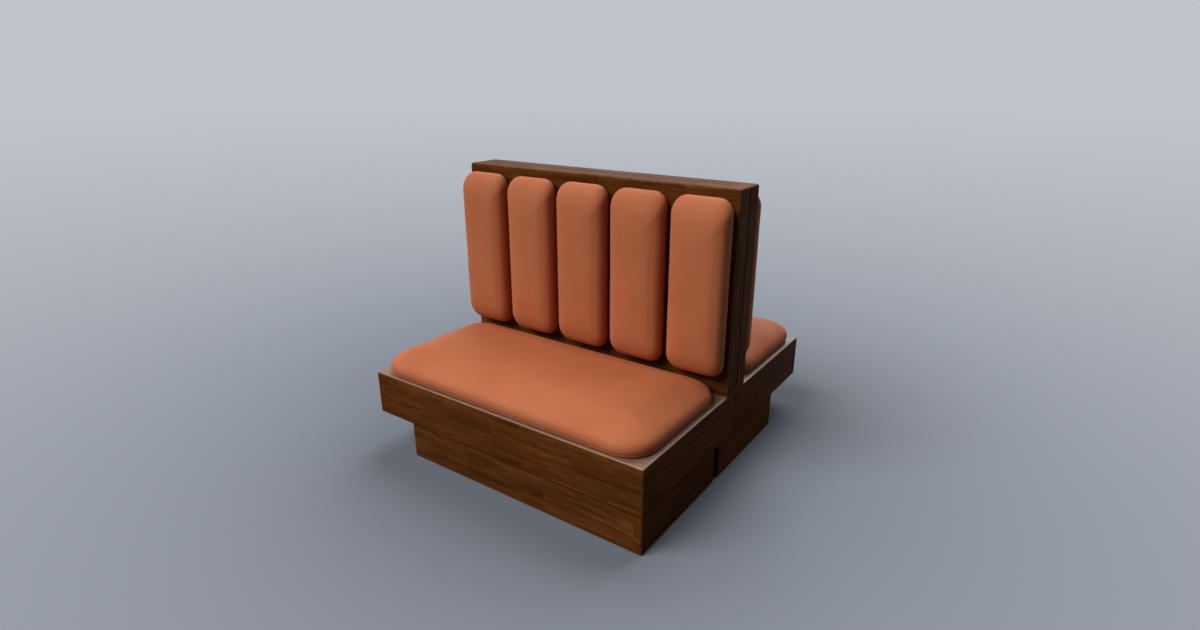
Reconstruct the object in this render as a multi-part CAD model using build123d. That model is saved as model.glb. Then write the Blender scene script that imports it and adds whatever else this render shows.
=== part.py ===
from build123d import *
import os

# A double restaurant booth: two benches that stand back to back on set-back plinths.
# Millimetres. X runs along the benches, the front bench faces -Y, Z is up.
# The origin is on the floor, in the middle of the two seat boxes.

# The whole booth
bench_width = 1220.0
bench_depth = 650.0
overall_height = 1055.0
plinth_top = 140.0
seat_box_height = 170.0
panel_thickness = 75.0

# The plinths: flush with the boxes on the right, short of them on the left and short of the middle
plinth_left_setback = 185.0
plinth_middle_setback = 148.0
plinth_gap = 33.0

# Boards and the rounding of their outer edges
box_board = 18.0
panel_board = 15.0
plinth_board = 18.0
edge_radius = 8.0
eased_radius = 2.0

# Inner framing
rib_thickness = 18.0
cross_rail_height = 80.0
corner_block_size = 40.0
inner_rail_height = 45.0

# Floor glides with a push-in peg
glide_radius = 14.0
glide_height = 3.0
glide_peg_radius = 3.0
glide_peg_length = 16.0

# Seat cushion: a low upright wall all round, then a broad rise to the crown
seat_height = 92.0
seat_end_reveal = 17.0
seat_front_reveal = 6.0
seat_rear_gap = 16.0
seat_corner_radius = 105.0
seat_roll = 45.0
seat_board = 12.0

# Hook-and-loop tape between the deck and the seat cushion
tape_length = 300.0
tape_width = 40.0
tape_thickness = 1.2
tape_end_inset = 93.0
tape_side_inset = 69.0

# Back pads
pad_count = 5
pad_gap = 29.0
pad_end_margin = 9.5
pad_top_margin = 28.0
pad_bottom_margin = 82.0
pad_thickness = 88.0
pad_corner_radius = 50.0
pad_roll = 40.0
pad_board = 15.0

# Upholstery
cover_thickness = 2.5
foam_clearance = 0.3

# Screws, bolts and nuts
screw_radius = 2.0
screw_length = 28.0
screw_head_radius = 4.0
screw_head_height = 2.5
pad_screw_inset = 120.0
bolt_radius = 4.0
bolt_length = 50.0
bolt_head_width = 13.0
bolt_head_height = 5.5
nut_height = 6.5
bolt_end_inset = 160.0
bolt_count = 3
hole_clearance = 0.2

# How far a cutting shape runs past what it cuts
cut_overrun = 5.0

# Shape of a cushion's edge, from its back to its crown: the share of the height, then the
# shares of the roll that the outline is drawn in at its sides and at its ends
seat_profile_shares = [
    (0.000, 0.13, 0.13),
    (0.109, 0.04, 0.04),
    (0.217, 0.00, 0.00),
    (0.326, 0.01, 0.01),
    (0.413, 0.07, 0.07),
    (0.489, 0.18, 0.18),
    (0.554, 0.32, 0.32),
    (0.620, 0.51, 0.51),
    (0.685, 0.74, 0.74),
    (0.750, 1.02, 1.02),
    (0.810, 1.32, 1.32),
    (0.864, 1.64, 1.64),
    (0.913, 2.00, 2.00),
    (0.951, 2.38, 2.38),
    (0.978, 2.78, 2.78),
    (0.993, 3.20, 3.20),
    (1.000, 3.64, 3.64),
]
pad_profile_shares = [
    (0.00, 0.55, 0.50),
    (0.08, 0.33, 0.27),
    (0.19, 0.14, 0.10),
    (0.33, 0.03, 0.01),
    (0.48, 0.00, 0.06),
    (0.63, 0.05, 0.26),
    (0.76, 0.18, 0.58),
    (0.86, 0.40, 1.02),
    (0.93, 0.70, 1.55),
    (0.97, 1.05, 2.15),
    (1.00, 1.45, 2.80),
]
# The most that an outline's corner may take of its shorter side
corner_limit_share = 0.45

# Places that follow from the sizes above
deck_top = plinth_top + seat_box_height
panel_height = overall_height - deck_top
plinth_height = plinth_top - glide_height
plinth_width = bench_width - plinth_left_setback
plinth_depth = bench_depth - plinth_middle_setback
plinth_centre_x = (bench_width - plinth_width) / 2
front_plinth_y = -bench_depth + plinth_depth / 2
rear_plinth_y = front_plinth_y + plinth_depth + plinth_gap
cross_rail_spacing = plinth_width / 3
seat_width = bench_width - 2 * seat_end_reveal
seat_length = bench_depth - panel_thickness - seat_front_reveal - seat_rear_gap
seat_base = deck_top + tape_thickness * 2
seat_centre_y = -bench_depth + seat_front_reveal + seat_length / 2
tape_spacing_x = seat_width - 2 * tape_end_inset - tape_length
tape_spacing_y = seat_length - 2 * tape_side_inset - tape_width
panel_centre_y = -panel_thickness / 2
pad_pitch = (bench_width - 2 * pad_end_margin + pad_gap) / pad_count
pad_width = pad_pitch - pad_gap
pad_length = panel_height - pad_top_margin - pad_bottom_margin
pad_centre_z = overall_height - pad_top_margin - pad_length / 2
pad_screw_spacing = pad_length - 2 * pad_screw_inset
bolt_spacing = (bench_width - 2 * bolt_end_inset) / (bolt_count - 1)

standing = (Align.CENTER, Align.CENTER, Align.MIN)
nodes = {}


# Keep a solid, or a list of like solids, under the name of its node
def keep(name, *solids):
    nodes.setdefault(name, []).extend(solids)


# Turn a piece of the front bench into the same piece of the rear bench
def for_rear(solid):
    return Rot(0, 0, 180) * solid


# A plain block that stands on a height, centred in plan
def block(width, depth, height, x, y, base):
    return Pos(x, y, base) * Box(width, depth, height, align=standing)


# The outside of a carcass: upright edges rounded, top edges rounded or eased, bottom edges eased
def rounded_block(width, depth, height, top_radius):
    solid = Box(width, depth, height, align=standing)
    solid = fillet(solid.edges().filter_by(Axis.Z), edge_radius)
    if top_radius > 0:
        solid = fillet(solid.edges().group_by(Axis.Z)[-1], top_radius)
    return fillet(solid.edges().group_by(Axis.Z)[0], eased_radius)


# A wedge in plan that takes one wall of a carcass, with its mitres at 45 degrees
def wall_wedge(outer_half, inner_half, outer_edge, inner_edge, height, turn):
    corners = [
        (-outer_half, -outer_edge),
        (outer_half, -outer_edge),
        (inner_half, -inner_edge),
        (-inner_half, -inner_edge),
    ]
    return extrude(Rot(0, 0, turn) * Polygon(*corners, align=None), height)


# The mitred boards of a carcass that is open below: four walls and, where it has one, a top
def mitred_boards(width, depth, height, board, has_top):
    top_board = board if has_top else 0
    outside = rounded_block(width, depth, height, edge_radius if has_top else 0)
    inside = Box(width - 2 * board, depth - 2 * board, height - top_board, align=standing)
    shell = outside - inside
    outer_x = width / 2 + cut_overrun
    outer_y = depth / 2 + cut_overrun
    inner_x = width / 2 - board
    inner_y = depth / 2 - board
    reach = height + cut_overrun
    boards = {}
    if has_top:
        lower = Pos(0, 0, height - board) * Rectangle(2 * inner_x, 2 * inner_y)
        upper = Pos(0, 0, reach) * Rectangle(2 * outer_x, 2 * outer_y)
        lid = loft([lower, upper], ruled=True)
        boards["top"] = shell & lid
        shell = shell - lid
    boards["face"] = shell & wall_wedge(outer_x, inner_x, outer_y, inner_y, reach, 0)
    boards["right"] = shell & wall_wedge(outer_y, inner_y, outer_x, inner_x, reach, 90)
    boards["back"] = shell & wall_wedge(outer_x, inner_x, outer_y, inner_y, reach, 180)
    boards["left"] = shell & wall_wedge(outer_y, inner_y, outer_x, inner_x, reach, 270)
    return boards


# One outline of a cushion, drawn in by its shares of the roll
def cushion_outline(width, length, corner_radius, roll, side_share, end_share):
    outline_width = width - 2 * roll * side_share
    outline_length = length - 2 * roll * end_share
    limit = min(outline_width, outline_length) * corner_limit_share
    outline = Rectangle(outline_width, outline_length)
    return fillet(outline.vertices(), min(corner_radius, limit))


# A padded form, lofted from its flat back up through rounded outlines to its crown
def padded_form(width, length, height, corner_radius, roll, profile_shares):
    outlines = []
    for height_share, side_share, end_share in profile_shares:
        outline = cushion_outline(width, length, corner_radius, roll, side_share, end_share)
        outlines.append(Pos(0, 0, height * height_share) * outline)
    return loft(outlines)


# A cushion as its three pieces: the board at its back, the foam on it and the cover round both
def cushion_pieces(width, length, height, corner_radius, roll, profile_shares, board):
    def form(inward):
        return padded_form(
            width - 2 * inward, length - 2 * inward, height - inward, corner_radius - inward,
            roll, profile_shares,
        )

    gap = cover_thickness + foam_clearance
    board_outline = cushion_outline(
        width - 2 * gap, length - 2 * gap, corner_radius - gap, roll, *profile_shares[0][1:]
    )
    base = extrude(board_outline, board)
    foam = form(gap) - Box(width, length, 2 * board)
    return {"cover": form(0) - form(cover_thickness), "foam": foam, "base": base}


# A pan-head screw whose head rests at the origin and whose shank runs down
def wood_screw():
    shank = Cylinder(screw_radius, screw_length, align=(Align.CENTER, Align.CENTER, Align.MAX))
    head = Cylinder(screw_head_radius, screw_head_height, align=standing)
    return shank + fillet(head.edges().group_by(Axis.Z)[-1], screw_head_height / 2)


# A hexagon bolt whose head hangs below the origin and whose shank runs up
def hex_bolt():
    shank = Cylinder(bolt_radius, bolt_length, align=standing)
    hexagon = RegularPolygon(bolt_head_width / 2, 6, major_radius=False)
    return shank + extrude(hexagon, -bolt_head_height)


# A hexagon nut that stands on the origin
def hex_nut():
    hexagon = RegularPolygon(bolt_head_width / 2, 6, major_radius=False)
    bore = Cylinder(bolt_radius + hole_clearance, nut_height, align=standing)
    return extrude(hexagon, nut_height) - bore


# A drill that clears a shank, through both sides of the origin
def drill(radius, reach):
    return Cylinder(radius + hole_clearance, 2 * reach)


# Evenly spaced places about zero
def spread(count, pitch):
    return [(index - (count - 1) / 2) * pitch for index in range(count)]


# The plinths: mitred boards, corner blocks, cross rails and glides
block_x = plinth_width / 2 - plinth_board - corner_block_size / 2
block_y = plinth_depth / 2 - plinth_board - corner_block_size / 2
plinth_screw_points = []
plinth_places = {
    "front": Pos(plinth_centre_x, front_plinth_y, glide_height),
    "rear": Pos(plinth_centre_x, rear_plinth_y, glide_height) * Rot(0, 0, 180),
}
plinth_boards = mitred_boards(plinth_width, plinth_depth, plinth_height, plinth_board, False)
peg_hole = drill(glide_peg_radius, glide_peg_length)
corner_block = Box(corner_block_size, corner_block_size, plinth_height, align=standing) - peg_hole
corner_block = corner_block - Pos(0, 0, plinth_height) * drill(screw_radius, screw_length)
glide_disc = Cylinder(glide_radius, glide_height, align=(Align.CENTER, Align.CENTER, Align.MAX))
glide_disc = fillet(glide_disc.edges().group_by(Axis.Z)[0], glide_height / 3)
glide = glide_disc + Cylinder(glide_peg_radius, glide_peg_length, align=standing)
cross_rail = Box(rib_thickness, plinth_depth - 2 * plinth_board, cross_rail_height, align=standing)
for bench, place in plinth_places.items():
    for side, part_name in [("face", "face_board"), ("back", "back_board"),
                            ("left", "left_end"), ("right", "right_end")]:
        keep(f"{bench}_plinth_{part_name}", place * plinth_boards[side])
    for x in [-block_x, block_x]:
        for y in [-block_y, block_y]:
            corner = place * Pos(x, y, 0)
            keep("plinth_corner_blocks", corner * corner_block)
            keep("floor_glides", corner * glide)
            plinth_screw_points.append(corner * Pos(0, 0, plinth_height))
    for x in spread(2, cross_rail_spacing):
        rail_place = place * Pos(x, 0, plinth_height - cross_rail_height)
        keep("plinth_cross_rails", rail_place * cross_rail)

# The seat boxes: mitred boards with the deck as their top, a bottom board and two ribs, which
# stand over the plinths' cross rails
box_boards = mitred_boards(bench_width, bench_depth, seat_box_height, box_board, True)
box_place = Pos(0, -bench_depth / 2, plinth_top)
box_inside_depth = bench_depth - 2 * box_board
box_inside_height = seat_box_height - 2 * box_board
bottom_board = block(
    bench_width - 2 * box_board, box_inside_depth, box_board, 0, -bench_depth / 2, plinth_top
)
rib = Box(rib_thickness, box_inside_depth, box_inside_height, align=standing)
deck_bolt_places = [
    Pos(x, panel_centre_y, deck_top - box_board) for x in spread(bolt_count, bolt_spacing)
]
join_height = plinth_top + seat_box_height / 2
join_places = [
    Pos(x, -box_board, join_height) * Rot(-90, 0, 0) for x in spread(bolt_count, bolt_spacing)
]
deck = box_place * box_boards["top"]
for place in deck_bolt_places:
    deck = deck - place * drill(bolt_radius, bolt_length)
back_board = box_place * box_boards["back"]
for place in join_places:
    back_board = back_board - place * drill(bolt_radius, bolt_length)
box_solids = {
    "box_apron": box_place * box_boards["face"],
    "box_back_board": back_board,
    "box_left_side": box_place * box_boards["left"],
    "box_right_side": box_place * box_boards["right"],
    "box_deck": deck,
}
for name, solid in box_solids.items():
    keep(f"front_{name}", solid)
    keep(f"rear_{name}", for_rear(solid))
for bench, solid in [("front", bottom_board), ("rear", for_rear(bottom_board))]:
    for point in plinth_screw_points:
        solid = solid - point * Pos(0, 0, box_board) * drill(screw_radius, screw_length)
    keep(f"{bench}_box_bottom_board", solid)
for x in spread(2, cross_rail_spacing):
    for y in spread(2, bench_depth):
        keep("box_ribs", Pos(plinth_centre_x + x, y, plinth_top + box_board) * rib)

# The back panels: mitred boards with a top rail, and two rails inside
panel_boards = mitred_boards(bench_width, panel_thickness, panel_height, panel_board, True)
panel_place = Pos(0, panel_centre_y, deck_top)
pad_screw_places = []
for x in spread(pad_count, pad_pitch):
    for z in spread(2, pad_screw_spacing):
        inner_face = -panel_thickness + panel_board
        pad_screw_places.append(Pos(x, inner_face, pad_centre_z + z) * Rot(-90, 0, 0))
panel_face = panel_place * panel_boards["face"]
for place in pad_screw_places:
    panel_face = panel_face - place * drill(screw_radius, screw_length)
panel_solids = {
    "panel_face_board": panel_face,
    "panel_rear_board": panel_place * panel_boards["back"],
    "panel_left_stile": panel_place * panel_boards["left"],
    "panel_right_stile": panel_place * panel_boards["right"],
    "panel_top_rail": panel_place * panel_boards["top"],
}
for name, solid in panel_solids.items():
    keep(f"front_{name}", solid)
    keep(f"rear_{name}", for_rear(solid))
inner_rail = Box(
    bench_width - 2 * panel_board, panel_thickness - 2 * panel_board, inner_rail_height,
    align=standing,
)
bottom_rail = Pos(0, panel_centre_y, deck_top) * inner_rail
for place in deck_bolt_places:
    bottom_rail = bottom_rail - place * drill(bolt_radius, bolt_length)
middle_rail = Pos(0, panel_centre_y, pad_centre_z - inner_rail_height / 2) * inner_rail
for rail in [bottom_rail, middle_rail]:
    keep("panel_inner_rails", rail, for_rear(rail))

# The seat cushions, on tape that grips the deck
seat_place = Pos(0, seat_centre_y, seat_base)
seat = cushion_pieces(
    seat_width, seat_length, seat_height, seat_corner_radius, seat_roll, seat_profile_shares,
    seat_board,
)
for piece, node in [("cover", "cover"), ("foam", "foam"), ("base", "base_board")]:
    solid = seat_place * seat[piece]
    keep(f"front_seat_{node}", solid)
    keep(f"rear_seat_{node}", for_rear(solid))
for x in spread(2, tape_spacing_x):
    for y in spread(2, tape_spacing_y):
        hook = block(tape_length, tape_width, tape_thickness, x, seat_centre_y + y, deck_top)
        loop = Pos(0, 0, tape_thickness) * hook
        keep("deck_hook_tapes", hook, for_rear(hook))
        keep("front_seat_loop_tapes", loop)
        keep("rear_seat_loop_tapes", for_rear(loop))

# The back pads, screwed on from inside the panel
pad = cushion_pieces(
    pad_width, pad_length, pad_thickness, pad_corner_radius, pad_roll, pad_profile_shares,
    pad_board,
)
for z in spread(2, pad_screw_spacing):
    pad["base"] = pad["base"] - Pos(0, z, 0) * drill(screw_radius, screw_length)
for number, x in enumerate(spread(pad_count, pad_pitch), start=1):
    pad_place = Pos(x, -panel_thickness, pad_centre_z) * Rot(90, 0, 0)
    cover = pad_place * pad["cover"]
    keep(f"front_pad_{number}_cover", cover)
    keep(f"rear_pad_{number}_cover", for_rear(cover))
    for piece, node in [("base", "pad_boards"), ("foam", "pad_foams")]:
        solid = pad_place * pad[piece]
        keep(node, solid, for_rear(solid))

# The fasteners, each kind in one node
for place in pad_screw_places:
    screw = place * wood_screw()
    keep("wood_screws", screw, for_rear(screw))
for point in plinth_screw_points:
    keep("wood_screws", point * Pos(0, 0, box_board) * wood_screw())
for place in deck_bolt_places:
    bolt = place * hex_bolt()
    keep("panel_bolts", bolt, for_rear(bolt))
for place in join_places:
    keep("joining_bolts", place * hex_bolt())
    keep("joining_nuts", place * Pos(0, 0, 2 * box_board) * hex_nut())

os.makedirs("parts", exist_ok=True)
for name, solids in nodes.items():
    whole = []
    for solid in solids:
        whole.extend(solid.solids())
    shape = whole[0] if len(whole) == 1 else Compound(children=whole)
    export_step(shape, f"parts/{name}.step")
print(len(nodes), "nodes")
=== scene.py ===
# Restaurant booth, two benches back to back: leather over foam, walnut veneer boards.
import bmesh
import bpy
import math
import random
from mathutils import Matrix, Vector, noise
from mathutils.bvhtree import BVHTree


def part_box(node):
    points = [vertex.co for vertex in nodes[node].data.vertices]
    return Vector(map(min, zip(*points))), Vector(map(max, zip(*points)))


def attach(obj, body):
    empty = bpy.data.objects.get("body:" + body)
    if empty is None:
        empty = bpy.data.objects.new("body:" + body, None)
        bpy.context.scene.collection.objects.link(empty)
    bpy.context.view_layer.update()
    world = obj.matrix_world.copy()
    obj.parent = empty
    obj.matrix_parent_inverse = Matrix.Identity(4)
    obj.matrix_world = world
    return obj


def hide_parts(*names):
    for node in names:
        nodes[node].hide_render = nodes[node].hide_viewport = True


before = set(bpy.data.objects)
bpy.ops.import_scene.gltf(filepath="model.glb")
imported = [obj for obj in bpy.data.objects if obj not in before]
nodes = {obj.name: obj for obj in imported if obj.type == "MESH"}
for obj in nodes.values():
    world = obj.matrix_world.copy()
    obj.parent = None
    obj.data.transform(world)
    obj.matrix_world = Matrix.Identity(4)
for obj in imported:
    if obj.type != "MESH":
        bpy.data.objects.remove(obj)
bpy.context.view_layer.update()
scene = bpy.context.scene
mm = 0.001
print("frame:", len(nodes), "nodes")


# Small helpers

def srgb(code):
    # "#rrggbb" as the linear colour that the shaders want
    values = [int(code[i:i + 2], 16) / 255 for i in (1, 3, 5)]
    return tuple(v / 12.92 if v <= 0.04045 else ((v + 0.055) / 1.055) ** 2.4 for v in values) + (1,)


def addNode(tree, kind, inputs=None, **settings):
    # one node, its settings, and its inputs as plain values or as links
    node = tree.nodes.new(kind)
    for name, value in settings.items():
        setattr(node, name, value)
    for key, value in (inputs or {}).items():
        if isinstance(value, bpy.types.NodeSocket):
            tree.links.new(value, node.inputs[key])
        else:
            node.inputs[key].default_value = value
    return node


def newMaterial(name):
    material = bpy.data.materials.new(name)
    material.use_nodes = True
    material.node_tree.nodes.clear()
    return material, material.node_tree


def finishMaterial(tree, surface, bump=None):
    if bump is not None:
        tree.links.new(bump, surface.inputs["Normal"])
    addNode(tree, "ShaderNodeOutputMaterial", {"Surface": surface.outputs[0]})


def meshObject(name, mesh):
    piece = bpy.data.objects.new(name, mesh)
    scene.collection.objects.link(piece)
    return piece


def bakedMesh(piece):
    # the evaluated mesh, with every modifier applied
    graph = bpy.context.evaluated_depsgraph_get()
    return bpy.data.meshes.new_from_object(piece.evaluated_get(graph))


def ramp(tree, factor, stops):
    node = addNode(tree, "ShaderNodeValToRGB", {"Fac": factor})
    elements = node.color_ramp.elements
    while len(elements) < len(stops):
        elements.new(0.5)
    for element, (place, colour) in zip(elements, stops):
        element.position = place
        element.color = colour
    return node.outputs["Color"]


def grey(value):
    return (value, value, value, 1)


# Camera, floor and light

view = {
    "place": (1.4872, -2.1264, 1.4075),
    "turn": 34.97,              # degrees from straight ahead, towards -X
    "dip": 19.69,               # degrees below level
    "pixelFocal": 675.54,       # focal length in pixels of a 1200 wide frame
}
studio = {
    "backdrop": "#bfc4cc",
    "floor": "#70767f",
    "floorBounce": "#505256",   # what the floor throws back on the object, as a dark floor does
    "ambient": 0.075,
    "key": {"from": (-0.33, -0.62, 0.71), "strength": 3.05, "angle": 40.0},    # wide, for soft shadows
    "back": {"from": (-0.12, 0.62, 0.78), "strength": 2.2, "angle": 50.0},
    "blendNear": 0.9,           # where the floor starts to turn into the backdrop, metres
    "blendPace": 1.6,           # the larger, the slower it turns
    "blendWhole": 0.925,        # the share at which it is the backdrop altogether
    "floorReach": 30.0,
}


def makeCamera():
    data = bpy.data.cameras.new("camera")
    data.sensor_width = 36
    data.lens = view["pixelFocal"] / 1200 * 36
    camera = bpy.data.objects.new("camera", data)
    camera.location = view["place"]
    camera.rotation_euler = (math.radians(90 - view["dip"]), 0, math.radians(view["turn"]))
    scene.collection.objects.link(camera)
    scene.camera = camera


def backdropRay(tree):
    # 1 for rays that should see the pale backdrop itself
    path = addNode(tree, "ShaderNodeLightPath")
    both = addNode(tree, "ShaderNodeMath", {0: path.outputs["Is Camera Ray"],
                                            1: path.outputs["Is Glossy Ray"]}, operation="MAXIMUM")
    every = addNode(tree, "ShaderNodeMath", {0: both.outputs[0], 1: path.outputs["Is Transmission Ray"]},
                    operation="MAXIMUM")
    return every.outputs[0]


def makeWorld():
    world = bpy.data.worlds.new("studio")
    scene.world = world
    world.use_nodes = True
    tree = world.node_tree
    tree.nodes.clear()
    seen = addNode(tree, "ShaderNodeBackground", {"Color": srgb(studio["backdrop"]), "Strength": 1.0})
    cast = addNode(tree, "ShaderNodeBackground", {"Color": srgb(studio["backdrop"]),
                                                  "Strength": studio["ambient"]})
    both = addNode(tree, "ShaderNodeMixShader", {0: backdropRay(tree), 1: cast.outputs[0],
                                                 2: seen.outputs[0]})
    addNode(tree, "ShaderNodeOutputWorld", {"Surface": both.outputs[0]})


def makeFloor():
    material, tree = newMaterial("studioFloor")     # matt painted floor that melts into the backdrop
    place = addNode(tree, "ShaderNodeTexCoord").outputs["Object"]
    away = addNode(tree, "ShaderNodeVectorMath", {0: place}, operation="LENGTH").outputs["Value"]
    past = addNode(tree, "ShaderNodeMath", {0: away, 1: studio["blendNear"]},
                   operation="SUBTRACT").outputs[0]
    slowed = addNode(tree, "ShaderNodeMath", {0: away, 1: studio["blendPace"]},
                     operation="ADD").outputs[0]
    share = addNode(tree, "ShaderNodeMath", {0: past, 1: slowed}, operation="DIVIDE").outputs[0]
    blend = addNode(tree, "ShaderNodeMapRange", {"Value": share,
                                                 "From Max": studio["blendWhole"]}).outputs[0]
    seenRay = backdropRay(tree)
    colour = addNode(tree, "ShaderNodeMix", {0: seenRay, 6: srgb(studio["floorBounce"]),
                                             7: srgb(studio["floor"])}, data_type="RGBA").outputs[2]
    paint = addNode(tree, "ShaderNodeBsdfPrincipled", {"Base Color": colour, "Roughness": 0.9,
                                                       "Specular IOR Level": 0.1})
    glow = addNode(tree, "ShaderNodeEmission", {"Color": srgb(studio["backdrop"]), "Strength": 1.0})
    seen = addNode(tree, "ShaderNodeMath", {0: blend, 1: seenRay}, operation="MULTIPLY").outputs[0]
    both = addNode(tree, "ShaderNodeMixShader", {0: seen, 1: paint.outputs[0], 2: glow.outputs[0]})
    finishMaterial(tree, both)
    reach = studio["floorReach"]
    mesh = bpy.data.meshes.new("floor")
    mesh.from_pydata([(-reach, -reach, 0), (reach, -reach, 0), (reach, reach, 0), (-reach, reach, 0)],
                     [], [(0, 1, 2, 3)])
    mesh.materials.append(material)
    meshObject("floor", mesh)


def makeSun(name):
    given = studio[name]
    data = bpy.data.lights.new(name, "SUN")
    data.energy = given["strength"]
    data.angle = math.radians(given["angle"])
    lamp = bpy.data.objects.new(name, data)
    lamp.rotation_mode = "QUATERNION"
    lamp.rotation_quaternion = Vector(given["from"]).to_track_quat("Z", "Y")
    scene.collection.objects.link(lamp)


scene.view_settings.view_transform = "Standard"
makeCamera()
makeWorld()
makeFloor()
makeSun("key")
makeSun("back")
print("stage: camera, floor and lamps")


# Walnut veneer under satin lacquer: dark brown leaves with fine open pores along the grain

walnut = {
    "dark": "#49260d",
    "mid": "#5c3214",
    "light": "#71421d",
    "worn": "#96704a",
    "gloss": 0.015,             # of the upright faces
    "railGloss": 0.06,          # of the top rail, polished by hands
    "deckGloss": 0.8,
    "paintedReflection": "#b89d86",          # painted reflection: the deck's colour mixed towards this pale taupe, standing in for the pale reflection on its top
    "paintedReflectionShare": 0.24,
    "leafLength": 360 * mm,     # one leaf of veneer along the grain
    "leafWidth": 100 * mm,
    "leafContrast": 0.14,
    "figureLength": 260 * mm,   # broad figure of the grain
    "figureWidth": 16 * mm,
    "poreLength": 46 * mm,      # real pores are 0.3 mm wide, drawn wider so that they show
    "poreWidth": 1.8 * mm,
    "poreDepth": 0.12 * mm,
    "roughness": 0.46,
    "wearWidth": 5 * mm,        # rubbed edges
    "wearShare": 0.5,
    "pore": "#1d0e06",
    "poreShare": 0.55,
    "jointWidth": 1.6 * mm,     # painted shade: a dark line where box and plinth meet, for the shade in their joint
    "joint": "#180c05",
    "jointShare": 0.7,
}
grainOrders = {"alongX": "XZY", "alongY": "YZX", "deckX": "XYZ", "railX": "XYZ", "uprightEnd": "ZYX"}


def edgeDistance(tree, place, low, high):
    # how far a point is from the nearest edge of the box from low to high
    under = addNode(tree, "ShaderNodeVectorMath", {0: place, 1: low}, operation="SUBTRACT")
    over = addNode(tree, "ShaderNodeVectorMath", {0: high, 1: place}, operation="SUBTRACT")
    near = addNode(tree, "ShaderNodeVectorMath", {0: under.outputs[0], 1: over.outputs[0]},
                   operation="MINIMUM")
    axes = addNode(tree, "ShaderNodeSeparateXYZ", {0: near.outputs[0]}).outputs

    def of(operation, a, b):
        return addNode(tree, "ShaderNodeMath", {0: a, 1: b}, operation=operation).outputs[0]

    least = of("MINIMUM", axes[0], axes[1])
    most = of("MAXIMUM", axes[0], axes[1])
    return of("MAXIMUM", least, of("MINIMUM", most, axes[2]))


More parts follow.
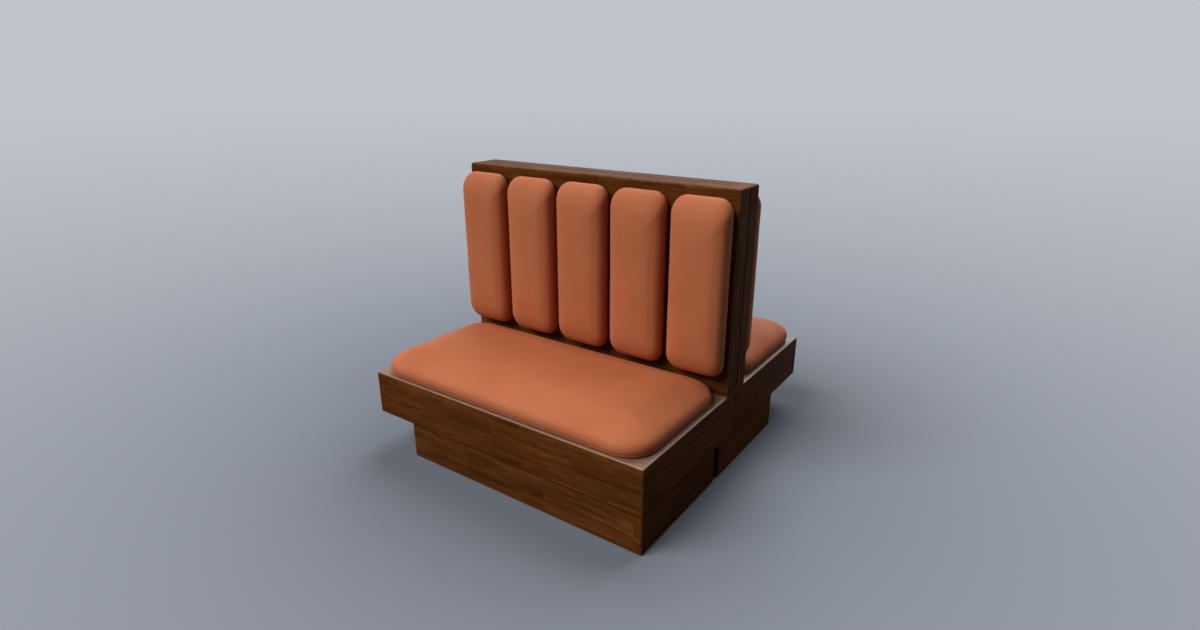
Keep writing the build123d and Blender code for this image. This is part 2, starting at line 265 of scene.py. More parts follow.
def walnutVeneer(name, grain, shift, low, high, joint):
    material, tree = newMaterial(name)
    place = addNode(tree, "ShaderNodeTexCoord").outputs["Object"]
    axes = addNode(tree, "ShaderNodeSeparateXYZ", {0: place}).outputs
    order = ["XYZ".index(letter) for letter in grainOrders[grain]]
    along = addNode(tree, "ShaderNodeCombineXYZ", {i: axes[order[i]] for i in range(3)}).outputs[0]
    moved = addNode(tree, "ShaderNodeMapping", {"Vector": along, "Location": shift}).outputs[0]

    def stretched(length, width, detail, roughness, distortion):
        scaled = addNode(tree, "ShaderNodeMapping", {"Vector": moved,
                         "Scale": (1 / length, 1 / width, 1 / width)}).outputs[0]
        return addNode(tree, "ShaderNodeTexNoise", {"Vector": scaled, "Scale": 1.0, "Detail": detail,
                       "Roughness": roughness, "Distortion": distortion}).outputs["Fac"]

    leaves = addNode(tree, "ShaderNodeTexBrick", {
        "Vector": moved, "Color1": grey(0.0), "Color2": grey(1.0), "Scale": 1.0, "Mortar Size": 0.0,
        "Brick Width": walnut["leafLength"], "Row Height": walnut["leafWidth"]},
        offset=0.37).outputs["Color"]
    figureVector = addNode(tree, "ShaderNodeVectorMath", {0: moved, 1: leaves},
                           operation="ADD").outputs[0]
    figureScaled = addNode(tree, "ShaderNodeMapping", {"Vector": figureVector, "Scale": (
        1 / walnut["figureLength"], 1 / walnut["figureWidth"], 1 / walnut["figureWidth"])}).outputs[0]
    figure = addNode(tree, "ShaderNodeTexNoise", {"Vector": figureScaled, "Scale": 1.0, "Detail": 4.0,
                     "Roughness": 0.55, "Distortion": 0.6}).outputs["Fac"]
    cloud = stretched(0.35, 0.12, 2.0, 0.5, 0.2)
    pores = stretched(walnut["poreLength"], walnut["poreWidth"], 2.0, 0.6, 0.1)

    base = ramp(tree, figure, [(0.30, srgb(walnut["dark"])), (0.52, srgb(walnut["mid"])),
                               (0.78, srgb(walnut["light"]))])
    leafTone = addNode(tree, "ShaderNodeMapRange", {"Value": leaves,
                                                    "To Min": 1 - walnut["leafContrast"],
                                                    "To Max": 1 + walnut["leafContrast"]}).outputs[0]
    cloudTone = addNode(tree, "ShaderNodeMapRange", {"Value": cloud, "From Min": 0.3, "From Max": 0.7,
                                                     "To Min": 0.82, "To Max": 1.16}).outputs[0]
    tone = addNode(tree, "ShaderNodeMath", {0: leafTone, 1: cloudTone}, operation="MULTIPLY").outputs[0]
    toned = addNode(tree, "ShaderNodeVectorMath", {0: base, "Scale": tone}, operation="SCALE").outputs[0]
    poreMask = addNode(tree, "ShaderNodeMapRange", {"Value": pores, "From Min": 0.56,
                                                    "From Max": 0.68}).outputs[0]
    poreTone = addNode(tree, "ShaderNodeMath", {0: poreMask, 1: walnut["poreShare"]},
                       operation="MULTIPLY").outputs[0]
    grained = addNode(tree, "ShaderNodeMix", {0: poreTone, 6: toned, 7: srgb(walnut["pore"])},
                      data_type="RGBA").outputs[2]

    # lacquer rubbed thin along the outer edges
    edge = edgeDistance(tree, place, low, high)
    rubNoise = addNode(tree, "ShaderNodeTexNoise", {"Vector": place, "Scale": 28.0,
                                                    "Detail": 3.0}).outputs["Fac"]
    rubbed = addNode(tree, "ShaderNodeMath", {0: rubNoise, 1: walnut["wearWidth"] * 2},
                     operation="MULTIPLY").outputs[0]
    wear = addNode(tree, "ShaderNodeMapRange", {"Value": edge, "From Min": 0.0, "From Max": rubbed,
                                                "To Min": walnut["wearShare"], "To Max": 0.0}).outputs[0]
    colour = addNode(tree, "ShaderNodeMix", {0: wear, 6: grained, 7: srgb(walnut["worn"])},
                     data_type="RGBA").outputs[2]
    # painted shade: a thin dark line along the joint of box and plinth, standing in for the shade in the
    # joint
    atJoint = addNode(tree, "ShaderNodeMath", {0: axes[2], 1: joint, 2: walnut["jointWidth"]},
                      operation="COMPARE").outputs[0]
    jointShadeShare = addNode(tree, "ShaderNodeMath", {0: atJoint, 1: walnut["jointShare"]},
                    operation="MULTIPLY").outputs[0]
    colour = addNode(tree, "ShaderNodeMix", {0: jointShadeShare, 6: colour, 7: srgb(walnut["joint"])},
                     data_type="RGBA").outputs[2]

    smudge = addNode(tree, "ShaderNodeTexNoise", {"Vector": place, "Scale": 5.0,
                                                  "Detail": 4.0}).outputs["Fac"]
    # painted reflection: only the deck is mixed towards pale taupe, unevenly by the noise, in place of
    # the pale reflection on its top
    if grain == "deckX":
        paintedReflectionMix = addNode(tree, "ShaderNodeMapRange", {"Value": smudge, "From Min": 0.3, "From Max": 0.7,
                                                     "To Min": walnut["paintedReflectionShare"] * 0.8,
                                                     "To Max": walnut["paintedReflectionShare"] * 1.2}).outputs[0]
        colour = addNode(tree, "ShaderNodeMix", {0: paintedReflectionMix, 6: colour, 7: srgb(walnut["paintedReflection"])},
                         data_type="RGBA").outputs[2]
    dull = addNode(tree, "ShaderNodeMapRange", {"Value": smudge, "From Min": 0.3, "From Max": 0.7,
                                                "To Min": walnut["roughness"] - 0.06,
                                                "To Max": walnut["roughness"] + 0.08}).outputs[0]
    roughness = addNode(tree, "ShaderNodeMath", {0: poreMask, 1: 0.18, 2: dull},
                        operation="MULTIPLY_ADD").outputs[0]
    height = addNode(tree, "ShaderNodeMath", {0: poreMask, 1: -1.0}, operation="MULTIPLY").outputs[0]
    bump = addNode(tree, "ShaderNodeBump", {"Height": height, "Distance": walnut["poreDepth"],
                                            "Strength": 0.7}).outputs[0]
    gloss = walnut[{"deckX": "deckGloss", "railX": "railGloss"}.get(grain, "gloss")]
    surface = addNode(tree, "ShaderNodeBsdfPrincipled", {"Base Color": colour, "Roughness": roughness,
                                                         "Specular IOR Level": gloss})
    finishMaterial(tree, surface, bump)
    return material


# Birch plywood and softwood, bare: pale, with faint grain and small flecks

plywood = {"pale": "#d9bd8c", "deep": "#b58f5a", "fleck": "#8d6a3c", "grainLength": 180 * mm,
           "grainWidth": 5 * mm, "roughness": 0.7}


def barePlywood(name):
    material, tree = newMaterial(name)
    place = addNode(tree, "ShaderNodeTexCoord").outputs["Object"]
    scaled = addNode(tree, "ShaderNodeMapping", {"Vector": place, "Scale": (
        1 / plywood["grainLength"], 1 / plywood["grainWidth"], 1 / plywood["grainWidth"])}).outputs[0]
    grain = addNode(tree, "ShaderNodeTexNoise", {"Vector": scaled, "Scale": 1.0, "Detail": 4.0,
                    "Distortion": 0.4}).outputs["Fac"]
    fleck = addNode(tree, "ShaderNodeTexNoise", {"Vector": scaled, "Scale": 5.0,
                                                 "Detail": 2.0}).outputs["Fac"]
    base = ramp(tree, grain, [(0.3, srgb(plywood["deep"])), (0.65, srgb(plywood["pale"]))])
    spots = addNode(tree, "ShaderNodeMapRange", {"Value": fleck, "From Min": 0.66, "From Max": 0.74,
                                                 "To Max": 0.6}).outputs[0]
    colour = addNode(tree, "ShaderNodeMix", {0: spots, 6: base, 7: srgb(plywood["fleck"])},
                     data_type="RGBA").outputs[2]
    bump = addNode(tree, "ShaderNodeBump", {"Height": grain, "Distance": 0.2 * mm,
                                            "Strength": 0.5}).outputs[0]
    surface = addNode(tree, "ShaderNodeBsdfPrincipled", {"Base Color": colour,
                                                         "Roughness": plywood["roughness"]})
    finishMaterial(tree, surface, bump)
    return material


# Corrected-grain leather, dyed burnt orange: satin, with a fine pebble and softly worn high spots

leather = {
    "dye": "#b96a45",
    "deep": "#9c5031",          # darker dye, in cloudy patches and in the pebble's valleys
    "rubbed": "#c57a54",
    "pebble": 2.2 * mm,         # real pebble is near 1 mm, drawn coarser so that it shows
    "pebbleDepth": 0.16 * mm,
    "creaseLength": 34 * mm,
    "roughness": 0.58,
    "gloss": 0.13,
    "sheen": 0.03,
    "sheenTint": "#e8a57c",
    # painted shade: the seam's groove is darkened towards this colour
    "seam": "#5c2c18",
    "seamShadeShare": 0.45,
    "evenness": 0.75,           # share of the plain dye over its cloudy patches
}


def tanLeather():
    material, tree = newMaterial("tanLeather")
    place = addNode(tree, "ShaderNodeTexCoord").outputs["Object"]
    bend = addNode(tree, "ShaderNodeTexNoise", {"Vector": place, "Scale": 1 / (9 * mm), "Detail": 2.0})
    warp = addNode(tree, "ShaderNodeVectorMath", {0: bend.outputs["Color"], 1: (1.6 * mm,) * 3,
                                                  2: place}, operation="MULTIPLY_ADD").outputs[0]
    cells = addNode(tree, "ShaderNodeTexVoronoi", {"Vector": warp, "Scale": 1 / leather["pebble"]},
                    feature="DISTANCE_TO_EDGE").outputs["Distance"]
    pebble = addNode(tree, "ShaderNodeMapRange", {"Value": cells, "From Min": 0.0, "From Max": 0.22},
                     interpolation_type="SMOOTHSTEP").outputs[0]
    creases = addNode(tree, "ShaderNodeTexNoise", {"Vector": place, "Scale": 1 / leather["creaseLength"],
                      "Detail": 5.0, "Roughness": 0.6, "Distortion": 0.8}).outputs["Fac"]
    patches = addNode(tree, "ShaderNodeTexNoise", {"Vector": place, "Scale": 4.5, "Detail": 3.0,
                      "Roughness": 0.55}).outputs["Fac"]
    base = ramp(tree, patches, [(0.28, srgb(leather["deep"])), (0.5, srgb(leather["dye"])),
                                (0.8, srgb(leather["rubbed"]))])
    even = addNode(tree, "ShaderNodeMix", {0: leather["evenness"], 6: base, 7: srgb(leather["dye"])},
                   data_type="RGBA").outputs[2]
    inPores = addNode(tree, "ShaderNodeMapRange", {"Value": pebble, "To Min": 0.16,
                                                   "To Max": 0.0}).outputs[0]
    pored = addNode(tree, "ShaderNodeMix", {0: inPores, 6: even, 7: srgb(leather["deep"])},
                    data_type="RGBA").outputs[2]
    # painted shade in the seam's groove, read from the seam attribute
    seam = addNode(tree, "ShaderNodeAttribute", attribute_name="seam").outputs["Fac"]
    seamShade = addNode(tree, "ShaderNodeMath", {0: seam, 1: leather["seamShadeShare"]},
                     operation="MULTIPLY").outputs[0]
    colour = addNode(tree, "ShaderNodeMix", {0: seamShade, 6: pored, 7: srgb(leather["seam"])},
                     data_type="RGBA").outputs[2]
    dull = addNode(tree, "ShaderNodeMapRange", {"Value": patches, "From Min": 0.3, "From Max": 0.7,
                                                "To Min": leather["roughness"] + 0.05,
                                                "To Max": leather["roughness"] - 0.06}).outputs[0]
    fine = addNode(tree, "ShaderNodeBump", {"Height": pebble, "Distance": leather["pebbleDepth"],
                                            "Strength": 0.5}).outputs[0]
    both = addNode(tree, "ShaderNodeBump", {"Height": creases, "Distance": 0.9 * mm, "Strength": 0.35,
                                            "Normal": fine}).outputs[0]
    surface = addNode(tree, "ShaderNodeBsdfPrincipled", {"Base Color": colour, "Roughness": dull,
                      "Specular IOR Level": leather["gloss"], "Sheen Weight": leather["sheen"],
                      "Sheen Roughness": 0.5, "Sheen Tint": srgb(leather["sheenTint"])})
    finishMaterial(tree, surface, both)
    return material


def plainMaterial(name, colours, grain, roughness, depth, metallic=0.0):
    # a speckled two-tone surface: foam cells, woven tape, zinc spangle or moulded grain
    material, tree = newMaterial(name)
    place = addNode(tree, "ShaderNodeTexCoord").outputs["Object"]
    speck = addNode(tree, "ShaderNodeTexVoronoi", {"Vector": place,
                                                   "Scale": 1 / grain}).outputs["Distance"]
    drift = addNode(tree, "ShaderNodeTexNoise", {"Vector": place, "Scale": 0.12 / grain,
                                                 "Detail": 3.0}).outputs["Fac"]
    mixed = addNode(tree, "ShaderNodeMath", {0: speck, 1: drift}, operation="MULTIPLY").outputs[0]
    colour = ramp(tree, mixed, [(0.1, srgb(colours[0])), (0.5, srgb(colours[1]))])
    shine = addNode(tree, "ShaderNodeMapRange", {"Value": drift, "To Min": roughness - 0.08,
                                                 "To Max": roughness + 0.08}).outputs[0]
    bump = addNode(tree, "ShaderNodeBump", {"Height": speck, "Distance": depth,
                                            "Strength": 0.6}).outputs[0]
    surface = addNode(tree, "ShaderNodeBsdfPrincipled", {"Base Color": colour, "Roughness": shine})
    surface.inputs["Metallic"].default_value = metallic
    finishMaterial(tree, surface, bump)
    return material


def paint(node, material):
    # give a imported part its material; only its slots change
    slots = nodes[node].data.materials
    if len(slots) == 0:
        slots.append(material)
    for i in range(len(slots)):
        slots[i] = material


leatherSkin = tanLeather()
birchPly = barePlywood("birchPlywood")
creamFoam = plainMaterial("creamFoam", ("#cfc6a4", "#efe8cf"), 2.4 * mm, 0.9, 0.5 * mm)
nylonTape = plainMaterial("nylonHookTape", ("#0b0b0c", "#1f1f21"), 1.3 * mm, 0.85, 0.6 * mm)
zincSteel = plainMaterial("zincPlatedSteel", ("#8f8f8b", "#b7b7b2"), 3.0 * mm, 0.38, 0.02 * mm, 1.0)
mouldedPlastic = plainMaterial("mouldedPolyethylene", ("#131313", "#212121"), 0.8 * mm, 0.5, 0.03 * mm)


# Boards: each node's grain, and the carcass whose outer edges it rubs along

def unionBox(names):
    boxes = [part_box(name) for name in names]
    low = Vector([min(b[0][i] for b in boxes) for i in range(3)])
    high = Vector([max(b[1][i] for b in boxes) for i in range(3)])
    return low, high


boards = {
    "plinth": {"face_board": "alongX", "back_board": "alongX", "left_end": "alongY",
               "right_end": "alongY"},
    "box": {"apron": "alongX", "back_board": "alongX", "left_side": "alongY", "right_side": "alongY",
            "deck": "deckX"},
    "panel": {"face_board": "alongX", "rear_board": "alongX", "left_stile": "uprightEnd",
              "right_stile": "uprightEnd", "top_rail": "railX"},
}


def dressBoards():
    draw = random.Random(41)
    for bench in ("front", "rear"):
        for carcass, members in boards.items():
            low, high = unionBox([f"{bench}_{carcass}_{member}" for member in members])
            joint = high.z if carcass == "plinth" else low.z
            if carcass != "panel":
                low.z -= 1.0                   # nothing rubs along the joint of box and plinth
            if carcass == "plinth":
                high.z += 1.0
            for member, grain in members.items():
                name = f"{bench}_{carcass}_{member}"
                shift = [draw.uniform(-3, 3) for axis in range(3)]
                paint(name, walnutVeneer("walnut_" + name, grain, shift, low, high, joint))


def dressHidden():
    for name in nodes:
        if "foam" in name:
            paint(name, creamFoam)
        elif "tape" in name:
            paint(name, nylonTape)
        elif any(word in name for word in ("corner_blocks", "cross_rails", "ribs", "inner_rails",
                                           "pad_boards", "bottom_board", "base_board")):
            paint(name, birchPly)
    for name in ("wood_screws", "panel_bolts", "joining_bolts", "joining_nuts"):
        paint(name, zincSteel)
    paint("floor_glides", mouldedPlastic)


dressBoards()
dressHidden()
print("boards: veneer, plywood and fittings")


# Upholstery. A cushion is built up ring by ring from its back edge to its crown, along a profile:
# (share of the height, then shares of the roll that the outline is drawn in at sides and ends).
# Both dictionaries have: crownCorner, the corner radius at the crown; crown, its last rise; around,
# rimStep and crownStep, the sizes of the mesh; flange, the leather turned under; under, how far it
# lies below the board; cap, the most that air pressure may lift it; pucker, the gathers at corners.

clothFrames = 20
eveningRounds = 12

seat = {
    "roll": 45 * mm, "corner": 105 * mm, "crownCorner": 24 * mm, "crown": 2.4 * mm,
    "profile": [(0.0, 0.13, 0.13), (0.109, 0.04, 0.04), (0.217, 0.0, 0.0), (0.326, 0.01, 0.01),
                (0.413, 0.07, 0.07), (0.489, 0.18, 0.18), (0.554, 0.32, 0.32), (0.620, 0.51, 0.51),
                (0.685, 0.74, 0.74), (0.750, 1.02, 1.02), (0.810, 1.32, 1.32), (0.864, 1.64, 1.64),
                (0.913, 2.0, 2.0), (0.951, 2.38, 2.38), (0.978, 2.78, 2.78), (0.993, 3.2, 3.2),
                (1.0, 3.64, 3.64)],
    "around": 10 * mm, "rimStep": 3.6 * mm, "crownStep": 11 * mm,
    "seamHeight": 13 * mm, "seamDepth": 1.4 * mm, "seamWidth": 3.5 * mm, "flange": 32 * mm,
    "under": 0.9 * mm, "pressure": 3.0, "cap": 3 * mm, "fill": 0.8, "pucker": 0.9 * mm,
}
pad = {
    "roll": 40 * mm, "corner": 50 * mm, "crownCorner": 30 * mm, "crown": 2.2 * mm,
    "profile": [(0.0, 0.55, 0.50), (0.08, 0.33, 0.27), (0.19, 0.14, 0.10), (0.33, 0.03, 0.01),
                (0.48, 0.0, 0.06), (0.63, 0.05, 0.26), (0.76, 0.18, 0.58), (0.86, 0.40, 1.02),
                (0.93, 0.70, 1.55), (0.97, 1.05, 2.15), (1.0, 1.45, 2.80)],
    "around": 8 * mm, "rimStep": 3.4 * mm, "crownStep": 8 * mm,
    "seamHeight": 12 * mm, "seamDepth": 1.4 * mm, "seamWidth": 3.5 * mm, "flange": 20 * mm,
    "under": 0.1 * mm, "pressure": 3.0, "cap": 2.5 * mm, "fill": 0.85, "pucker": 0.7 * mm,
}


def profileRows(style, height):
    # the profile finely stepped and smooth, as (height, side inset, end inset) in metres
    points = [Vector((rise * height, side * style["roll"], end * style["roll"]))
              for rise, side, end in style["profile"]]
    fine = []
    for i in range(len(points) - 1):
        before, start = points[max(i - 1, 0)], points[i]
        end, after = points[i + 1], points[min(i + 2, len(points) - 1)]
        for step in range(12):
            t = step / 12
            bend = 2 * before - 5 * start + 4 * end - after
            twist = 3 * start - before - 3 * end + after
            fine.append(0.5 * ((2 * start) + (end - before) * t + bend * t * t + twist * t ** 3))
    return fine + [points[-1]]


def ringRows(style, height):
    # the rows that get a ring: close together near the seam, wider on the crown
    fine = profileRows(style, height)
    chosen, travelled, step = [fine[0]], 0.0, style["rimStep"]
    for last, row in zip(fine, fine[1:]):
        travelled += math.hypot(row[0] - last[0], max(abs(row[i] - last[i]) for i in (1, 2)))
        if travelled >= step:
            chosen.append(row)
            travelled = 0.0
            if row[0] > style["seamHeight"] * 2:
                step = min(step * 1.18, style["crownStep"])
    if chosen[-1] is not fine[-1]:
        chosen[-1] = fine[-1]
    return chosen


def quarterPath(halfX, halfY, radius):
    # from the middle of the front round one corner to the middle of the right side
    points = [Vector((0, -halfY)), Vector((halfX - radius, -halfY))]
    for i in range(1, 16):
        angle = math.pi / 2 * i / 16
        points.append(Vector((halfX - radius + radius * math.sin(angle),
                              -halfY + radius - radius * math.cos(angle))))
    return points + [Vector((halfX, -halfY + radius)), Vector((halfX, 0))]


def outlineHalves(width, length, corner):
    # the outline, counter-clockwise, cut in two where it meets the cushion's long middle line
    halfX, halfY = width / 2, length / 2
    front = quarterPath(halfX, halfY, min(corner, 0.9 * min(halfX, halfY)))
    quarters = [front, [Vector((p.x, -p.y)) for p in reversed(front)],
                [Vector((-p.x, -p.y)) for p in front], [Vector((-p.x, p.y)) for p in reversed(front)]]
    first = 1 if width > length else 0
    order = [quarters[(first + i) % 4] for i in range(4)]
    return [order[i] + order[i + 1][1:] for i in (0, 2)]


def evenPoints(path, count):
    # count steps of one length along a path, without its last point
    lengths = [0.0]
    for last, point in zip(path, path[1:]):
        lengths.append(lengths[-1] + (point - last).length)
    found, i = [], 0
    for k in range(count):
        target = lengths[-1] * k / count
        while lengths[i + 1] < target:
            i += 1
        share = (target - lengths[i]) / max(lengths[i + 1] - lengths[i], 1e-9)
        found.append(path[i].lerp(path[i + 1], share))
    return found


def ringAt(width, length, style, insets, inward, count):
    # one ring of points; inward is how far it is drawn in beyond its insets, all round
    tightened = max(style["corner"] - 0.8 * min(insets), style["crownCorner"])
    halves = outlineHalves(width - 2 * insets[0] - 2 * inward, length - 2 * insets[1] - 2 * inward,
                           max(tightened - inward, 4 * mm))
    return evenPoints(halves[0], count) + evenPoints(halves[1], count)


def paddedSheet(name, width, length, height, style):
    rows = ringRows(style, height)
    whole = outlineHalves(width, length, style["corner"])
    count = round(sum((b - a).length for a, b in zip(whole[0], whole[0][1:])) / style["around"])
    rings = []
    back = list(rows[0])[1:]
    for inward, level in ((style["flange"] + 1 * mm, 2 * mm), (style["flange"], -style["under"]),
                          (style["flange"] / 2, -style["under"]), (4 * mm, -style["under"])):
        rings.append([(p.x, p.y, level) for p in ringAt(width, length, style, back, inward, count)])
    for row in rows:
        rings.append([(p.x, p.y, row[0]) for p in ringAt(width, length, style, row[1:], 0, count)])
    last = list(rows[-1])[1:]
    reach = min(width / 2 - last[0], length / 2 - last[1]) - 2 * mm
    steps = math.ceil(reach / style["crownStep"])
    for k in range(1, steps + 1):
        share = k / steps
        rise = height + style["crown"] * (1 - (1 - share) ** 2)
        ring = ringAt(width, length, style, last, reach * share, count)
        rings.append([(p.x, p.y, rise) for p in ring])
    verts = [point for ring in rings for point in ring]
    around = 2 * count
    faces = []
    for j in range(len(rings) - 1):
        for i in range(around):
            n = (i + 1) % around
            faces.append((j * around + i, j * around + n, (j + 1) * around + n, (j + 1) * around + i))
    top = (len(rings) - 1) * around
    for k in range(count):
        near, far = (around - k) % around, around - k - 1
        faces.append(tuple(dict.fromkeys((top + k, top + k + 1, top + far, top + near))))
    mesh = bpy.data.meshes.new(name)
    mesh.from_pydata(verts, [], faces)
    mesh.validate()
    for polygon in mesh.polygons:
        polygon.use_smooth = True
    return mesh


def closed(piece):
    # the last opening, inside the board, once the sheet is smooth
    sheet = bmesh.new()
    sheet.from_mesh(piece.data)
    bmesh.ops.holes_fill(sheet, edges=[edge for edge in sheet.edges if edge.is_boundary], sides=0)
    bmesh.ops.recalc_face_normals(sheet, faces=sheet.faces)
    sheet.to_mesh(piece.data)
    sheet.free()


def puffed(piece, style):
    # a short cloth run with air pressure, capped so that the pad stays in its place
    mesh = piece.data
    start = [v.co.copy() for v in mesh.vertices]
    group = piece.vertex_groups.new(name="held")
    top = max(v.z for v in start)
    for i, v in enumerate(start):
        group.add([i], min(1.0, max(0.0, 1.0 - (v.z - 0.25 * top) / (0.3 * top))), "REPLACE")
    cloth = piece.modifiers.new("cloth", "CLOTH")
    settings = cloth.settings
    settings.quality = 6
    settings.mass = 0.5
    settings.tension_stiffness = 22
    settings.compression_stiffness = 22
    settings.shear_stiffness = 9
    settings.bending_stiffness = 1.2
    settings.use_pressure = True
    settings.uniform_pressure_force = style["pressure"]
    settings.effector_weights.gravity = 0
    settings.vertex_group_mass = "held"
    cloth.collision_settings.use_collision = False
    cloth.point_cache.frame_start = 1
    cloth.point_cache.frame_end = clothFrames
    for number in range(1, clothFrames + 1):
        scene.frame_set(number)
    moved = bakedMesh(piece)
    piece.modifiers.clear()
    steps = [max(0.0, (moved.vertices[i].co - start[i]).dot(v.normal))
             for i, v in enumerate(mesh.vertices)]
    near = [[] for v in mesh.vertices]
    for edge in mesh.edges:
        near[edge.vertices[0]].append(edge.vertices[1])
        near[edge.vertices[1]].append(edge.vertices[0])
    for turn in range(eveningRounds):          # so that the leather lies without creases
        steps = [(step + sum(steps[k] for k in near[i]) / len(near[i])) / 2
                 for i, step in enumerate(steps)]
    normals = [v.normal.copy() for v in mesh.vertices]
    for i, v in enumerate(mesh.vertices):
        v.co = start[i] + normals[i] * min(steps[i], style["cap"]) * max(0.0, normals[i].z)
    piece.vertex_groups.clear()
    bpy.data.meshes.remove(moved)
    scene.frame_set(1)


def smoothed(piece):
    modifier = piece.modifiers.new("smooth", "SUBSURF")
    modifier.levels = 1
    modifier.render_levels = 1
    mesh = bakedMesh(piece)
    piece.modifiers.clear()
    old = piece.data
    piece.data = mesh
    bpy.data.meshes.remove(old)


def sewn(piece, style, width, length, seed):
    # the seam's groove, small gathers round the corners, and slow unevenness of stuffed leather
    mesh = piece.data
    attribute = mesh.attributes.new("seam", "FLOAT", "POINT")
    shift = Vector((seed * 3.7, seed * 1.3, 0))
    normals = [v.normal.copy() for v in mesh.vertices]
    for v, normal in zip(mesh.vertices, normals):
        if v.co.z < 0.5 * mm:
            continue
        near = abs(v.co.z - style["seamHeight"]) / style["seamWidth"]
        side = 1 - abs(normal.z)
        groove = max(0.0, 1 - near * near) ** 2 * min(1.0, side * 2)
        push = -style["seamDepth"] * groove
        x, y = abs(v.co.x) - width / 2 + style["corner"], abs(v.co.y) - length / 2 + style["corner"]
        if x > 0 and y > 0:
            angle = math.atan2(y, x)
            midCorner = math.sin(2 * angle) ** 2
            fade = math.exp(-((v.co.z - style["seamHeight"]) / (16 * mm)) ** 2)
            gather = math.sin(angle * style["corner"] / (2.2 * mm) + seed)
            push += style["pucker"] * fade * midCorner * gather
        slow = noise.noise(v.co * 9 + shift) * 0.9 + noise.noise(v.co * 24 + shift) * 0.35
        push += (slow + 0.3) * 0.9 * mm * min(1.0, v.co.z / (25 * mm))
        v.co += normal * push
        # the groove is kept as seam, which the leather darkens as painted shade
        attribute.data[v.index].value = groove
    mesh.update()


def evenOutline(style, width, length, grow, spacing):
    # evenly spaced points round the cushion's outline, grown by so much all round
    halves = outlineHalves(width + 2 * grow, length + 2 * grow, style["corner"] + grow)
    whole = halves[0] + halves[1][1:]
    count = round(sum((b - a).length for a, b in zip(whole, whole[1:])) / spacing)
    return evenPoints(whole, count)


def seamLine(piece, style, width, length, spacing):
    # points in the bottom of the seam, found on the finished surface
    tree = BVHTree.FromPolygons([v.co for v in piece.data.vertices],
                                [tuple(p.vertices) for p in piece.data.polygons])
    outline = evenOutline(style, width, length, 20 * mm, spacing)
    points = []
    for i, spot in enumerate(outline):
        ahead = outline[(i + 1) % len(outline)] - outline[i - 1]
        inward = Vector((-ahead.y, ahead.x, 0)).normalized()
        hit = tree.ray_cast(Vector((spot.x, spot.y, style["seamHeight"])), inward)
        if hit[0] is not None:
            points.append(hit[0] + hit[1] * 0.25 * mm)
    return points


def turnedTo(bench):
    return Matrix.Rotation(math.pi, 4, "Z") if bench == "rear" else Matrix.Identity(4)


def closedLoop(name, loops):
    # one mesh of edges only, for the stitch and staple trees to follow
    verts, edges = [], []
    for loop in loops:
        start = len(verts)
        verts.extend(loop)
        edges.extend((start + i, start + (i + 1) % len(loop)) for i in range(len(loop)))
    mesh = bpy.data.meshes.new(name)
    mesh.from_pydata(verts, edges, [])
    return mesh


# Geometry Nodes: small shapes repeated along a seam

def repeatTree(name, shape, material):
    # Spacing, Length, Width and Height are the tree's inputs; shape is "stitch" or "staple"
    tree = bpy.data.node_groups.new(name, "GeometryNodeTree")
    face = tree.interface
    face.new_socket("Geometry", in_out="INPUT", socket_type="NodeSocketGeometry")
    for label in ("Spacing", "Length", "Width", "Height"):
        face.new_socket(label, in_out="INPUT", socket_type="NodeSocketFloat")
    face.new_socket("Geometry", in_out="OUTPUT", socket_type="NodeSocketGeometry")
    given = addNode(tree, "NodeGroupInput").outputs
    curve = addNode(tree, "GeometryNodeMeshToCurve", {"Mesh": given["Geometry"]}).outputs[0]
    path = addNode(tree, "GeometryNodeCurveToPoints", {"Curve": curve, "Length": given["Spacing"]},
                   mode="LENGTH")
    turn = addNode(tree, "FunctionNodeAlignRotationToVector", {"Vector": path.outputs["Tangent"]},
                   axis="X")
    size = addNode(tree, "ShaderNodeCombineXYZ", {0: given["Length"], 1: given["Width"],
                                                  2: given["Height"]})
    if shape == "stitch":
        form = addNode(tree, "GeometryNodeMeshUVSphere", {"Segments": 6, "Rings": 4,
                                                          "Radius": 0.5}).outputs[0]
    else:
        form = addNode(tree, "GeometryNodeMeshCube", {"Size": (1, 1, 1)}).outputs[0]
    copies = addNode(tree, "GeometryNodeInstanceOnPoints", {
        "Points": path.outputs["Points"], "Instance": form, "Rotation": turn.outputs[0],
        "Scale": size.outputs[0]}).outputs[0]
    real = addNode(tree, "GeometryNodeRealizeInstances", {"Geometry": copies}).outputs[0]
    dressed = addNode(tree, "GeometryNodeSetMaterial", {"Geometry": real,
                                                        "Material": material}).outputs[0]
    addNode(tree, "NodeGroupOutput", {"Geometry": dressed})
    return tree


def alongLoops(name, loops, tree, values, body):
    piece = meshObject(name, closedLoop(name, loops))
    modifier = piece.modifiers.new("repeat", "NODES")
    modifier.node_group = tree
    for item in tree.interface.items_tree:
        if item.in_out == "INPUT" and item.name in values:
            modifier[item.identifier] = values[item.name]
    mesh = bakedMesh(piece)
    piece.modifiers.clear()
    old = piece.data
    piece.data = mesh
    bpy.data.meshes.remove(old)
    for polygon in mesh.polygons:
        polygon.use_smooth = True
    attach(piece, body)
    return piece


threadMaterial = plainMaterial("bondedNylonThread", ("#8a4a2c", "#a96844"), 0.9 * mm, 0.6, 0.1 * mm)
stitchTree = repeatTree("stitches", "stitch", threadMaterial)
stapleTree = repeatTree("staples", "staple", zincSteel)
thread = {"Spacing": 7 * mm, "Length": 5.4 * mm, "Width": 1.0 * mm, "Height": 1.0 * mm}
staple = {"Spacing": 34 * mm, "Length": 10 * mm, "Width": 1.2 * mm, "Height": 0.7 * mm}
seamSpacing = 6 * mm            # between the points that the stitches follow


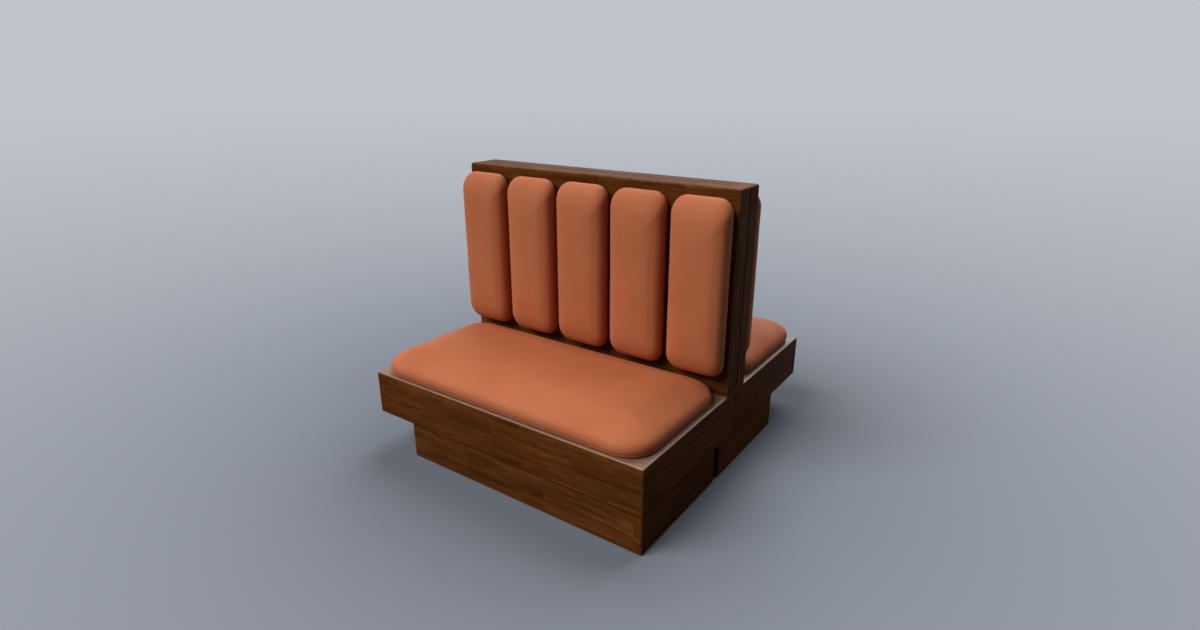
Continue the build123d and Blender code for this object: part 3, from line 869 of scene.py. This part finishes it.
def cushionMesh(name, node, style, seed, flat):
    # the finished cushion in its own flat frame: back at zero, crown up
    low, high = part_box(node)
    size = high - low
    width, length, height = (size.x, size.y, size.z) if flat else (size.x, size.z, size.y)
    piece = meshObject(name, paddedSheet(name, width, length, height, style))
    puffed(piece, style)
    smoothed(piece)
    closed(piece)
    sewn(piece, style, width, length, seed)
    piece.data.materials.append(leatherSkin)
    return piece, width, length


def placeOf(node, flat):
    # the frame of a cushion: on the deck facing up, or on the panel facing out
    low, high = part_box(node)
    middle = (low + high) / 2
    if flat:
        return Matrix.Translation((middle.x, middle.y, low.z))
    if middle.y < 0:
        return Matrix.Translation((middle.x, high.y, middle.z)) @ Matrix.Rotation(math.pi / 2, 4, "X")
    return (Matrix.Translation((middle.x, low.y, middle.z)) @ Matrix.Rotation(math.pi, 4, "Z")
            @ Matrix.Rotation(math.pi / 2, 4, "X"))


def placed(mesh, matrix):
    copy = mesh.copy()
    copy.transform(matrix)
    return copy


def makeSeats():
    piece, width, length = cushionMesh("seatPattern", "front_seat_cover", seat, 1, True)
    seam = seamLine(piece, seat, width, length, seamSpacing)
    inner = seat["roll"] * seat["profile"][0][1] + seat["flange"] * 0.55
    under = [Vector((p.x, p.y, -1.2 * mm)) for p in evenOutline(seat, width, length, -inner, 20 * mm)]
    for bench in ("front", "rear"):
        node = f"{bench}_seat_cover"
        matrix = placeOf(node, True) @ turnedTo(bench)
        cushion = meshObject(f"{bench}SeatCushion", placed(piece.data, matrix))
        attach(cushion, f"{bench}_seat")
        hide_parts(node)
        alongLoops(f"{bench}SeatStitches", [[matrix @ p for p in seam]], stitchTree, thread,
                   f"{bench}_seat")
        alongLoops(f"{bench}SeatStaples", [[matrix @ p for p in under]], stapleTree, staple,
                   f"{bench}_seat")
    old = piece.data
    bpy.data.objects.remove(piece)
    bpy.data.meshes.remove(old)


def makePads():
    patterns = []
    for kind in range(3):
        patterns.append(cushionMesh(f"padPattern{kind}", "front_pad_1_cover", pad, kind + 2, False))
    order = {"front": (0, 1, 2, 0, 1), "rear": (2, 0, 1, 2, 0)}
    for bench in ("front", "rear"):
        loops = []
        for number in range(1, 6):
            node = f"{bench}_pad_{number}_cover"
            matrix = placeOf(node, False)
            pattern, width, length = patterns[order[bench][number - 1]]
            cushion = meshObject(f"{bench}Pad{number}", placed(pattern.data, matrix))
            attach(cushion, "root")
            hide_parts(node)
            loops.append([matrix @ p for p in seamLine(pattern, pad, width, length, seamSpacing)])
        alongLoops(f"{bench}PadStitches", loops, stitchTree, thread, "root")
    for piece, width, length in patterns:
        old = piece.data
        bpy.data.objects.remove(piece)
        bpy.data.meshes.remove(old)


makeSeats()
print("seats: cushions, stitches and staples")
makePads()
print("pads: ten bolsters")
